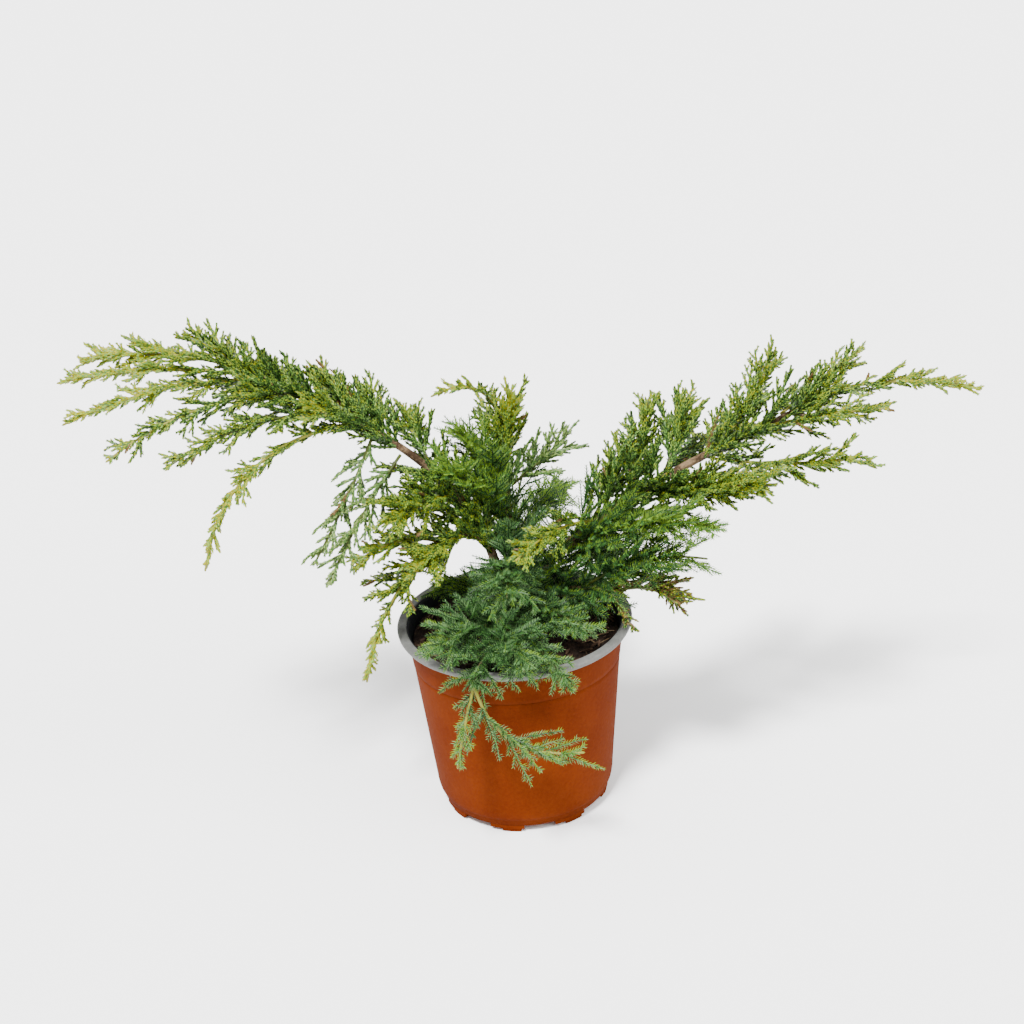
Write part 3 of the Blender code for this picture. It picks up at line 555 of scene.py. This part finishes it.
def grow():
    """Stems, arms, side shoots and stubs of every mass, each level from the one before."""
    names = list(MASSES)
    column = lambda k: np.array([MASSES[n][k] for n in names], float)
    reach, flat, lift, core = column(7), column(8), column(9), column(10)
    kind = [KINDS[MASSES[n][11]] for n in names]
    awl = np.array([k[0] == "awl" for k in kind])
    arm_gap = np.array([k[3] for k in kind]) * np.where(core > 0, DENSER, 1.0)
    lean = np.array([k[5] for k in kind], float) + np.outer(core > 0, (4, 12))
    shoot_gap = np.array([k[4] for k in kind])
    grown = np.array([k[6] for k in kind])
    stems, arms = [], []
    for k, mass in enumerate(names):
        rng = np.random.RandomState(100 + k)
        root, a, b = stem_curve(mass)
        stems.append((root, a, b, 0.0, k, 0))
        for p, d, t, u in solid_arms(mass, rng):
            size = np.linalg.norm(d)
            arms.append((p, d - t * size * 0.08, t * size * 0.16, u, k, 1))
    level = lambda rows: Cords(*[np.array([row[i] for row in rows]) for i in range(6)])
    stem, arm = level(stems), level(arms)
    rng = np.random.RandomState(7)
    rows, k, s = stations(stem, arm_gap, (0.03, 0.98), rng)
    roll = rng.uniform(0, 6.28, len(stem))[rows] + np.radians(GOLDEN) * k
    t, d = lean_out(stem, rows, s, roll, lean[rows].T, flat[rows], lift[rows], rng)
    size = (reach[rows] * arm_size(s) * rng.uniform(0.55, 0.95, len(rows)))[:, None]
    more = Cords(stem.at(rows, s), (d - t * 0.08) * size, t * size * 0.16, s, rows, 1)
    clothing = limb_arms(names, rng)
    arm = in_place(arm.plus(more).plus(clothing.pick(clothing.rank == 1)), 1.0)

    def feather(parent, gap, span, lean, growth, rank, wobble, spread=0.4):
        rows, k, s = stations(parent, gap, span, rng)
        spin = rng.normal(0, spread, len(parent))[rows]
        roll = spin + np.pi * k + rng.normal(0, wobble, len(rows))
        t, d = lean_out(parent, rows, s, roll, lean, 1.0, 0.06, rng)
        base, share, cap = np.broadcast_to(growth, (len(parent), 3))[rows].T
        size = (base + share * parent.length()[rows] * (1 - s)) * rng.uniform(0.8, 1.15, len(rows))
        size = np.minimum(np.minimum(size, cap), 0.75 * parent.length()[rows])[:, None]
        u = parent.u[rows] + (1 - parent.u[rows]) * 0.15 * s
        return Cords(parent.at(rows, s), (d - t * 0.05) * size, t * size * 0.12, u,
                     parent.mass[rows], rank)
    scaly, needled = arm.pick(~awl[arm.mass]), arm.pick(awl[arm.mass])
    shoot = feather(scaly, shoot_gap[scaly.mass], (0.10, 0.95), (27, 40), grown[scaly.mass], 2, 0.45)
    shoot = shoot.plus(feather(needled, shoot_gap[needled.mass], (0.08, 0.93), (36, 46),
                               grown[needled.mass], 2, 0.2, 0.3))
    over = feather(stem, shoot_gap * 1.2, (0.45, 0.98), (28, 40), (4.0, 0.10, 12.0), 2, 1.2)
    over.u = np.full(len(over), 0.9)
    shoot = in_place(shoot.plus(over).plus(clothing.pick(clothing.rank == 2)), 0.8)
    adult = shoot.pick(~awl[shoot.mass] & (shoot.length() > 8.0))
    stub = in_place(feather(adult, STUB_GAP, (0.2, 0.75), (28, 40), (2.6, 0.28, 5.5), 3, 0.6), 0.6)
    stub = stub.plus(clothing.pick(clothing.rank == 3))
    return names, stem, arm, shoot, stub


def tubes(cords, r0, r1, rings, sides):
    """Points and triangles of closed tubes along the cords that end in a point at both
    ends, radius r0 at the foot and r1 at the tip."""
    n = len(cords)
    s = np.linspace(0, 1, rings)
    rows, share = np.repeat(np.arange(n), rings), np.tile(s, n)
    p, t = cords.at(rows, share), cords.heading(rows, share)
    side, up = sides_of(t)
    radius = r0 + (r1 - r0) * share
    angle = 2 * np.pi * np.arange(sides) / sides
    ring = (np.cos(angle)[None, :, None] * side[:, None] + np.sin(angle)[None, :, None]
            * up[:, None]) * radius[:, None, None] + p[:, None]
    foot = cords.root - unit(cords.a) * 0.4
    tip = cords.root + cords.a + cords.b + unit(cords.a + 2 * cords.b) * r1 * 1.4
    points = np.concatenate([ring.reshape(n, rings * sides, 3), foot[:, None], tip[:, None]], 1)
    quads = grid_faces(rings, sides, True)
    j, last = np.arange(sides), (rings - 1) * sides
    base = np.stack([np.full(sides, rings * sides), (j + 1) % sides, j], -1)
    top = np.stack([np.full(sides, rings * sides + 1), last + j, last + (j + 1) % sides], -1)
    one = np.concatenate([quads[:, [0, 1, 2]], quads[:, [0, 2, 3]], base, top])
    faces = one[None] + (np.arange(n) * points.shape[1])[:, None, None]
    return points.reshape(-1, 3), faces.reshape(-1, 3)


def side_of(names):
    """Which third of the plant a mass belongs to, by the bough that carries it."""
    third = {"left_bough": "left", "low_left_bough": "left", "right_bough": "right",
             "low_right_bough": "right"}
    return np.array([third.get(MASSES[n][0], "middle") for n in names])


def kind_slot(colour):
    """Material slot of the record that a leaf colour belongs to."""
    if colour in ("scale_gold", "scale_amber"):
        return "gold"
    if colour in ("scale_lime", "scale_fresh"):
        return "lime"
    return "blue" if colour.startswith("needle") else "green"


def ride(ob, slot, *nodes):
    """Everything is one body; a piece stands for the named solids."""
    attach(ob, "root")
    if nodes:
        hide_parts(*nodes)
    return ob


def make_foliage():
    names, stem, arm, shoot, stub = grow()
    kinds = np.array([MASSES[n][11] for n in names])
    sides = side_of(names)
    awl = np.array([KINDS[k][0] == "awl" for k in kinds])
    first = np.array([KINDS[k][1] for k in kinds])
    last = np.array([KINDS[k][2] for k in kinds])
    rng = np.random.RandomState(11)
    tint = rng.normal(0, 0.04, len(names))
    total, pieces = 0, {}

    def shade(age, mass, young):
        """Number of the colour for an age, with the odd brown leaf in the brown masses."""
        if young:
            age = np.where((kinds[mass] == "fern") & (age > 0.52), age + 0.32, age)
            return np.digitize(age, (0.20, 0.36, 0.50, 0.66, 0.84))
        number = np.digitize(age, (0.16, 0.30, 0.45, 0.60, 0.78, 1.00))
        number = np.where(kinds[mass] == "thin", 8 + np.clip(number - 1, 0, 2), number)
        dead = (kinds[mass] == "brown") & (rng.uniform(0, 1, len(age)) < 0.4)
        return np.where(dead, DEAD, number)
    for level, tip_age, fat, side in ((arm, 0.06, 1.0, 4), (shoot, 0.0, 0.92, 4), (stub, 0.03, 0.85, 3)):
        for young in (False, True):
            own = level.pick(awl[level.mass] == young)
            if not len(own):
                continue
            cord = tint[own.mass] + rng.normal(0, 0.08, len(own))
            foot_age = first[own.mass] + (last - first)[own.mass] * own.u + cord + tip_age
            core = (0.60, 0.35) if young else CORD_R
            core = (core[0] * fat, core[1] * fat)
            palette = list(YOUNG_COLOURS if young else ADULT_COLOURS)
            # Painted shade: each cord gets the colour of an age 0.38 below its own, so the cords that show
            # in the gaps between the leaves are darker than the leaves.
            inner = shade(foot_age - 0.38, own.mass, young)
            withered = (rng.uniform(0, 1, len(own)) < DEAD_SHARE) & (foot_age < 0.6) & (not young)
            inner[withered] = DEAD
            if young:
                leaf = place_leaves(own, 2.05, 3, np.full(len(own), np.pi / 2), 0.0, (46, 56),
                                    np.array(NEEDLE) * fat, core, rng)
            else:
                leaf = place_leaves(own, 1.85, 2, rng.uniform(0, 6.28, len(own)), np.pi / 2, (6, 12),
                                    np.array(SCALE_LEAF) * fat, core, rng)
            corners, rows, s, rise = leaf
            # A leaf's colour age: 0.22 s s younger towards the shoot tip, plus painted light of 0.19 times
            # how far its outer side faces up, so upward-facing leaves get lighter colours and
            # downward-facing ones darker.
            age = foot_age[rows] + 0.22 * s ** 2 + 0.19 * rise + rng.normal(0, 0.09, len(rows))
            outer = shade(age, own.mass[rows], young)
            outer[withered[rows]] = DEAD
            for k, colour in enumerate(palette):
                for third in ("left", "middle", "right"):
                    cords = own.pick((inner == k) & (sides[own.mass] == third))
                    four = corners[(outer == k) & (sides[own.mass[rows]] == third)]
                    both = pieces.setdefault((colour, third), [])
                    if len(cords):
                        both.append(tubes(cords, core[0], core[1], 4 if level is arm else 3, side))
                    if len(four):
                        at = 4 * np.arange(len(four))[:, None]
                        both.append((four.reshape(-1, 3), np.concatenate(
                            [at + [0, 3, 2], at + [3, 1, 2], at + [1, 0, 2], at + [0, 1, 3]])))
    for (colour, third), parts in pieces.items():
        if not parts:
            continue
        points, faces = join_quads(parts)
        tone = {**ADULT_COLOURS, **YOUNG_COLOURS}[colour]
        shine = 0.12 if colour in YOUNG_COLOURS else 0.16
        material = bpy.data.materials.get(colour) or plain(colour, tone, shine)
        ride(put_mesh(colour + "_" + third, points, faces, material, smooth=False), kind_slot(colour))
        total += len(faces)
        if len(faces) > 190000:
            print("too many", colour, third, len(faces))
    gold = np.isin(kinds, ("gold", "lime", "wisp"))
    for label, mask in (("twigs_gold", True), ("twigs_green", False)):
        points, faces = tubes(stem.pick(gold == mask), 1.2, 0.8, 13, 7)
        ob = put_mesh(label, points, faces, plain(label, TWIG_COLOURS[label], 0.2))
        ride(ob, "gold" if mask else "green", *[n for n, g in zip(names, gold) if g == mask])
        total += len(faces)
    print("foliage", total, "triangles in", len(pieces))


def make_bark(group):
    """Trunk and boughs: a tapering tube whose radius has long strips and lifted flakes."""
    material = mottled("bark", (0.030, 0.017, 0.008), (0.150, 0.100, 0.056), 90.0, 700.0, 1.6,
                       0.85, 0.9, group)
    parts = []
    for k, limb in enumerate(LIMBS):
        around, steps = 40, max(24, int(LIMBS[limb][5] / 1.6))
        path = limb_path(limb, steps)
        u = np.linspace(0, 1, steps)
        r = limb_radius(limb, u)
        t = unit(np.vstack([path[1:2] - path[:1], path[2:] - path[:-2], path[-1:] - path[-2:-1]]))
        if limb == "trunk":
            t[0] = UP
        side, up = sides_of(t)
        a = 2 * np.pi * np.arange(around) / around
        length = u * LIMBS[limb][5]
        A, S = np.meshgrid(a, length)
        strips = np.abs(ripple(np.cos(A) * 6, np.sin(A) * 6, S * 0.05, 20 + k))
        flakes = np.clip(ripple(np.cos(A) * 4, np.sin(A) * 4, S * 0.45, 40 + k), 0, 1)
        R = r[:, None] * (0.93 + 0.10 * strips + 0.07 * flakes)
        R[0] *= 0.96
        R[-1] *= 0.3
        points = path[:, None] + R[..., None] * (np.cos(A)[..., None] * side[:, None]
                                                 + np.sin(A)[..., None] * up[:, None])
        if limb == "trunk":
            points[0, :, 2] = LIMBS["trunk"][0][2]
        grid = points.reshape(-1, 3)
        faces = grid_faces(steps, around, True)
        caps = np.vstack([path[:1], path[-1:]])
        n = len(grid)
        j = np.arange(around)
        foot = np.stack([np.full(around, n), (j + 1) % around, j, j], -1)
        parts.append((np.vstack([grid, caps]), faces))
    points, faces = join_quads(parts)
    ob = put_mesh("bark", points, faces, material)
    close_holes(ob)
    ride(ob, "bark", *LIMBS)


def close_holes(ob):
    """Fills every open ring and turns all faces outwards."""
    import bmesh
    bm = bmesh.new()
    bm.from_mesh(ob.data)
    loose = [v for v in bm.verts if not v.link_faces]
    bmesh.ops.delete(bm, geom=loose, context="VERTS")
    edges = [e for e in bm.edges if e.is_boundary]
    bmesh.ops.holes_fill(bm, edges=edges, sides=0)
    bmesh.ops.recalc_face_normals(bm, faces=bm.faces)
    bm.to_mesh(ob.data)
    bm.free()


def wall_r(z):
    """Outer radius of the pot's wall at a height."""
    if z > CREASE_Z:
        return CREASE_R + 0.3 + 2.7 * (z - CREASE_Z) / (POT_TOP - LIP_DROP - CREASE_Z)
    return WALL_FOOT_R + (CREASE_R - WALL_FOOT_R) * (z - SEAM_Z) / (CREASE_Z - SEAM_Z)


def make_pot(group):
    clay = mottled("terracotta_plastic", (0.074, 0.0100, 0.0004), (0.096, 0.0160, 0.0010), 26.0, 420.0,
                   0.9, 0.80, 0.35, group, 0.035)
    grey = mottled("grey_lip_plastic", (0.070, 0.071, 0.066), (0.115, 0.115, 0.108), 60.0, 500.0,
                   0.8, 0.6, 0.25, group)
    # Painted shade: a near-black material for the pot's inner wall between lip and soil, standing in for
    # the shade under the lip and the plant.
    dark = mottled("painted_shade_lining", (0.004, 0.005, 0.005), (0.009, 0.010, 0.011), 60.0, 400.0, 0.8,
                   0.7, 0.25, group)
    under = POT_TOP - LIP_DROP
    top = under - 0.3
    wall = [(PAD_R, 0.0), (PAD_R + 1, BASE_Z), (SEAM_R - 1.0, BASE_Z), (SEAM_R - 0.9, SEAM_Z - 0.4),
            (SEAM_R - 0.5, SEAM_Z), (SEAM_R, SEAM_Z + 0.3), (SEAM_R + 1.0, SEAM_Z + 1.1),
            (SEAM_R + 1.7, SEAM_Z + 2.2), (wall_r(SEAM_Z + 4) - 0.25, SEAM_Z + 4),
            (wall_r(SEAM_Z + 7), SEAM_Z + 7), (CREASE_R, CREASE_Z - 0.6),
            (CREASE_R - 0.5, CREASE_Z), (CREASE_R + 0.35, CREASE_Z + 0.5), (wall_r(top), top),
            (wall_r(top) - WALL_T, top), (CREASE_R - WALL_T, CREASE_Z - 0.5),
            (SEAM_R + 1.0, SEAM_Z + 3.2), (SEAM_R - 1.5, 8.0), (2.0, 8.0), (2.0, 0.0)]

    def dents(a, r, z):
        inside = np.clip((z - 12) / 20, 0, 1) * np.clip((130 - z) / 20, 0, 1)
        soft = ripple(np.cos(a) * 2, np.sin(a) * 2, z * 0.03, 3, waves=6, low=0.6, high=2.0)
        return r - np.where(r > 60, 0.35 * inside * (0.6 + 0.4 * soft), 0), z
    pot = turned_mesh("pot_wall", fine(wall, 3.0), clay, dents)
    feet = []
    for k in range(FOOT_COUNT):
        mid = FOOT_TURN + 360.0 * k / FOOT_COUNT
        feet.append(foot_block(50.0, 61.6, 2.4, BASE_Z + 1, mid, 23.5))
        feet.append(foot_block(51.0, 61.0, 0.0, BASE_Z + 1.2, mid + 3, 13))
    points, faces = join_quads(feet)
    foot = put_mesh("pot_feet", points, faces, clay, smooth=False)
    inner = wall_r(top) - WALL_T - 0.3
    low = CREASE_R - WALL_T - 0.5
    lip = [(LIP_IN_R, POT_TOP - 0.5), (LIP_IN_R + 0.5, POT_TOP), (LIP_R - 1.2, POT_TOP),
           (LIP_R - 0.4, POT_TOP - 0.3), (LIP_R, POT_TOP - 1.0), (LIP_R - 0.3, POT_TOP - 2.6),
           (LIP_R - 1.3, under + 0.2), (LIP_R - 1.8, under), (LIP_IN_R + 1.0, under),
           (LIP_IN_R, POT_TOP - 1.6)]
    lining = [(LIP_IN_R - 0.1, POT_TOP - 1.2), (LIP_IN_R + 0.6, under + 0.1),
              (inner + 0.2, under + 0.1), (inner, top), (low, 112.0), (low - 0.8, 112.0),
              (inner - 0.9, top - 1.5), (LIP_IN_R - 0.9, POT_TOP - 1.3)]

    def nicks(a, r, z):
        wave = ripple(np.cos(a) * 3, np.sin(a) * 3, z * 0.02, 8, waves=8, low=0.5, high=4.0)
        return r - 0.25 * (0.5 + 0.5 * np.clip(wave, -1, 1)) * (r > 82), z
    rim = turned_mesh("pot_rim", fine(lip, 1.2), grey, nicks)
    # The inner wall below the lip carries the near-black painted shade.
    inside = turned_mesh("pot_inside_painted_shade", fine(lining, 2.0), dark)
    ride(pot, "terracotta", "pot")
    ride(foot, "terracotta")
    ride(rim, "lip_grey", "pot_lip")
    ride(inside, "lip_grey")


def foot_block(r0, r1, z0, z1, mid, span, steps=6):
    """Block between two radii, heights and bearings: four corner lines carried round."""
    a = np.radians(mid - span / 2 + span * np.arange(steps + 1) / steps)
    corner = np.array([(r0, z0), (r1, z0), (r1, z1), (r0, z1)])
    A, K = np.meshgrid(a, np.arange(4), indexing="ij")
    r, z = corner[K, 0], corner[K, 1]
    points = np.stack([r * np.cos(A), r * np.sin(A), z], -1).reshape(-1, 3)
    faces = grid_faces(steps + 1, 4, True)
    ends = np.array([[0, 1, 2, 3], [4 * steps + 3, 4 * steps + 2, 4 * steps + 1, 4 * steps]])
    return points, np.vstack([faces[:, ::-1], ends[:, ::-1]])[:, ::-1]


def make_soil(group):
    """Lumpy disc of potting mix: height is noise of two sizes over rings of points."""
    dark = mottled("potting_mix", (0.006, 0.0035, 0.0022), (0.022, 0.0125, 0.0075), 160.0, 900.0,
                   1.3, 0.95, 1.0, group)
    rings, around, edge = 90, 220, 74.6
    r = edge * np.linspace(0, 1, rings) ** 0.8
    a = 2 * np.pi * np.arange(around) / around
    A, R = np.meshgrid(a, r)
    x, y = R * np.cos(A), R * np.sin(A)
    z = SOIL_Z - 1.2 + 0.9 * ripple(x, y, 0, 31, low=0.06, high=0.3) \
        + 0.9 * ripple(x, y, 0, 32, waves=14, low=0.5, high=2.2)
    z[-1] = SOIL_Z - 6
    z[0] = z[0].mean()
    points = np.stack([x, y, z], -1).reshape(-1, 3)
    faces = grid_faces(rings, around, True)
    below = np.stack([edge * np.cos(a), edge * np.sin(a), np.full(around, SOIL_Z - 9)], -1)
    points = np.vstack([points, below])
    j = np.arange(around)
    last = (rings - 1) * around
    skirt = np.stack([last + j, last + (j + 1) % around, rings * around + (j + 1) % around,
                      rings * around + j], -1)
    ob = put_mesh("potting_mix", points, np.vstack([faces, skirt]), dark)
    weld(ob)
    ride(ob, "soil", "soil")
    chips = mottled("bark_chips", (0.016, 0.008, 0.004), (0.055, 0.032, 0.019), 200.0, 900.0, 1.2,
                    0.9, 0.8, group)
    straw = mottled("straw_bits", (0.085, 0.052, 0.025), (0.150, 0.105, 0.060), 200.0, 900.0, 1.0, 0.8,
                    0.3, group)
    scatter("soil_chips", 420, (3.0, 11.0), (0.8, 2.2), (0.5, 1.2), chips, 51)
    scatter("soil_straws", 60, (8.0, 20.0), (0.5, 0.9), (0.35, 0.6), straw, 52)


def weld(ob):
    """Merges the points that meet in the middle, fills what is open, faces outwards."""
    import bmesh
    bm = bmesh.new()
    bm.from_mesh(ob.data)
    bmesh.ops.remove_doubles(bm, verts=bm.verts, dist=1e-6)
    bmesh.ops.holes_fill(bm, edges=[e for e in bm.edges if e.is_boundary], sides=0)
    bmesh.ops.recalc_face_normals(bm, faces=bm.faces)
    bm.to_mesh(ob.data)
    bm.free()


def scatter(name, count, lengths, widths, heights, material, seed):
    """Splinters that lie on the soil: six-sided slivers at random places and bearings."""
    rng = np.random.RandomState(seed)
    r = 72 * np.sqrt(rng.uniform(0.03, 1, count))
    a = rng.uniform(0, 2 * np.pi, count)
    turn = rng.uniform(0, 2 * np.pi, count)
    climb = rng.normal(0, 0.16, count)
    d = np.stack([np.cos(turn) * np.cos(climb), np.sin(turn) * np.cos(climb), np.sin(climb)], -1)
    side, up = sides_of(d)
    half = rng.uniform(*lengths, count)[:, None] / 2
    mid = np.stack([r * np.cos(a), r * np.sin(a), np.full(count, SOIL_Z + 0.3)], -1)
    w, h = rng.uniform(*widths, count)[:, None] / 2, rng.uniform(*heights, count)[:, None] / 2
    inside = np.hypot(*(mid + d * half)[:, :2].T) < 74
    inside &= np.hypot(*(mid - d * half)[:, :2].T) < 74
    ring = []
    for s, scale in ((-1, 0.35), (-0.4, 1.0), (0.45, 0.9), (1, 0.3)):
        c = mid + d * half * s
        ring += [c + (side * w * p + up * h * q) * scale for p, q in ((-1, -1), (1, -1), (1, 1), (-1, 1))]
    points = np.stack(ring, 1)[inside].reshape(-1, 3)
    one = grid_faces(4, 4, True)
    one = np.vstack([one, [[3, 2, 1, 0], [12, 13, 14, 15]]])
    faces = (one[None] + (16 * np.arange(inside.sum()))[:, None, None]).reshape(-1, 4)
    ob = put_mesh(name, points, faces, material, smooth=False)
    recalc(ob)
    ride(ob, "soil")


def recalc(ob):
    import bmesh
    bm = bmesh.new()
    bm.from_mesh(ob.data)
    bmesh.ops.recalc_face_normals(bm, faces=bm.faces)
    bm.to_mesh(ob.data)
    bm.free()


# Floor, light and camera

def make_stage():
    material = bpy.data.materials.new("paper_floor")
    tree, shader = nodes_of(material)
    shader.inputs["Base Color"].default_value = (0.95, 0.95, 0.95, 1)
    shader.inputs["Roughness"].default_value = 0.9
    mesh = bpy.data.meshes.new("floor")
    mesh.from_pydata([(-6, -6, -0.0005), (6, -6, -0.0005), (6, 6, -0.0005), (-6, 6, -0.0005)], [],
                     [(0, 1, 2, 3)])
    mesh.materials.append(material)
    floor = bpy.data.objects.new("floor", mesh)
    bpy.context.scene.collection.objects.link(floor)
    world = bpy.data.worlds.new("studio")
    bpy.context.scene.world = world
    world.use_nodes = True
    sky = world.node_tree.nodes["Background"]
    sky.inputs["Color"].default_value = (1, 1, 1, 1)
    sky.inputs["Strength"].default_value = 1.2
    for name, place, spread, power in (("key", (-0.35, -0.8, 1.5), 12, 10.5),
                                       ("fill", (1.2, -0.9, 1.3), 40, 2.6)):
        light = bpy.data.lights.new(name, "SUN")
        light.angle = math.radians(spread)
        light.energy = power
        ob = bpy.data.objects.new(name, light)
        ob.location = place
        ob.rotation_euler = (-Vector(place)).to_track_quat("-Z", "Y").to_euler()
        bpy.context.scene.collection.objects.link(ob)
    data = bpy.data.cameras.new("camera")
    camera = bpy.data.objects.new("camera", data)
    bpy.context.scene.collection.objects.link(camera)
    climb, roll = math.radians(25.03), math.radians(4.05)
    back = Vector((0, -math.cos(climb), math.sin(climb)))
    right, up = Vector((1, 0, 0)), Vector((0, math.sin(climb), math.cos(climb)))
    side = right * math.cos(roll) - up * math.sin(roll)
    top = right * math.sin(roll) + up * math.cos(roll)
    turn = Matrix((side, top, back)).transposed().to_4x4()
    camera.matrix_world = Matrix.Translation(Vector(EYE) * MM) @ turn
    data.lens, data.sensor_width = 63.28, 36.0
    data.clip_start = 0.02
    bpy.context.scene.camera = camera


mottle = mottle_group()
make_pot(mottle)
make_soil(mottle)
make_bark(mottle)
make_foliage()
make_stage()
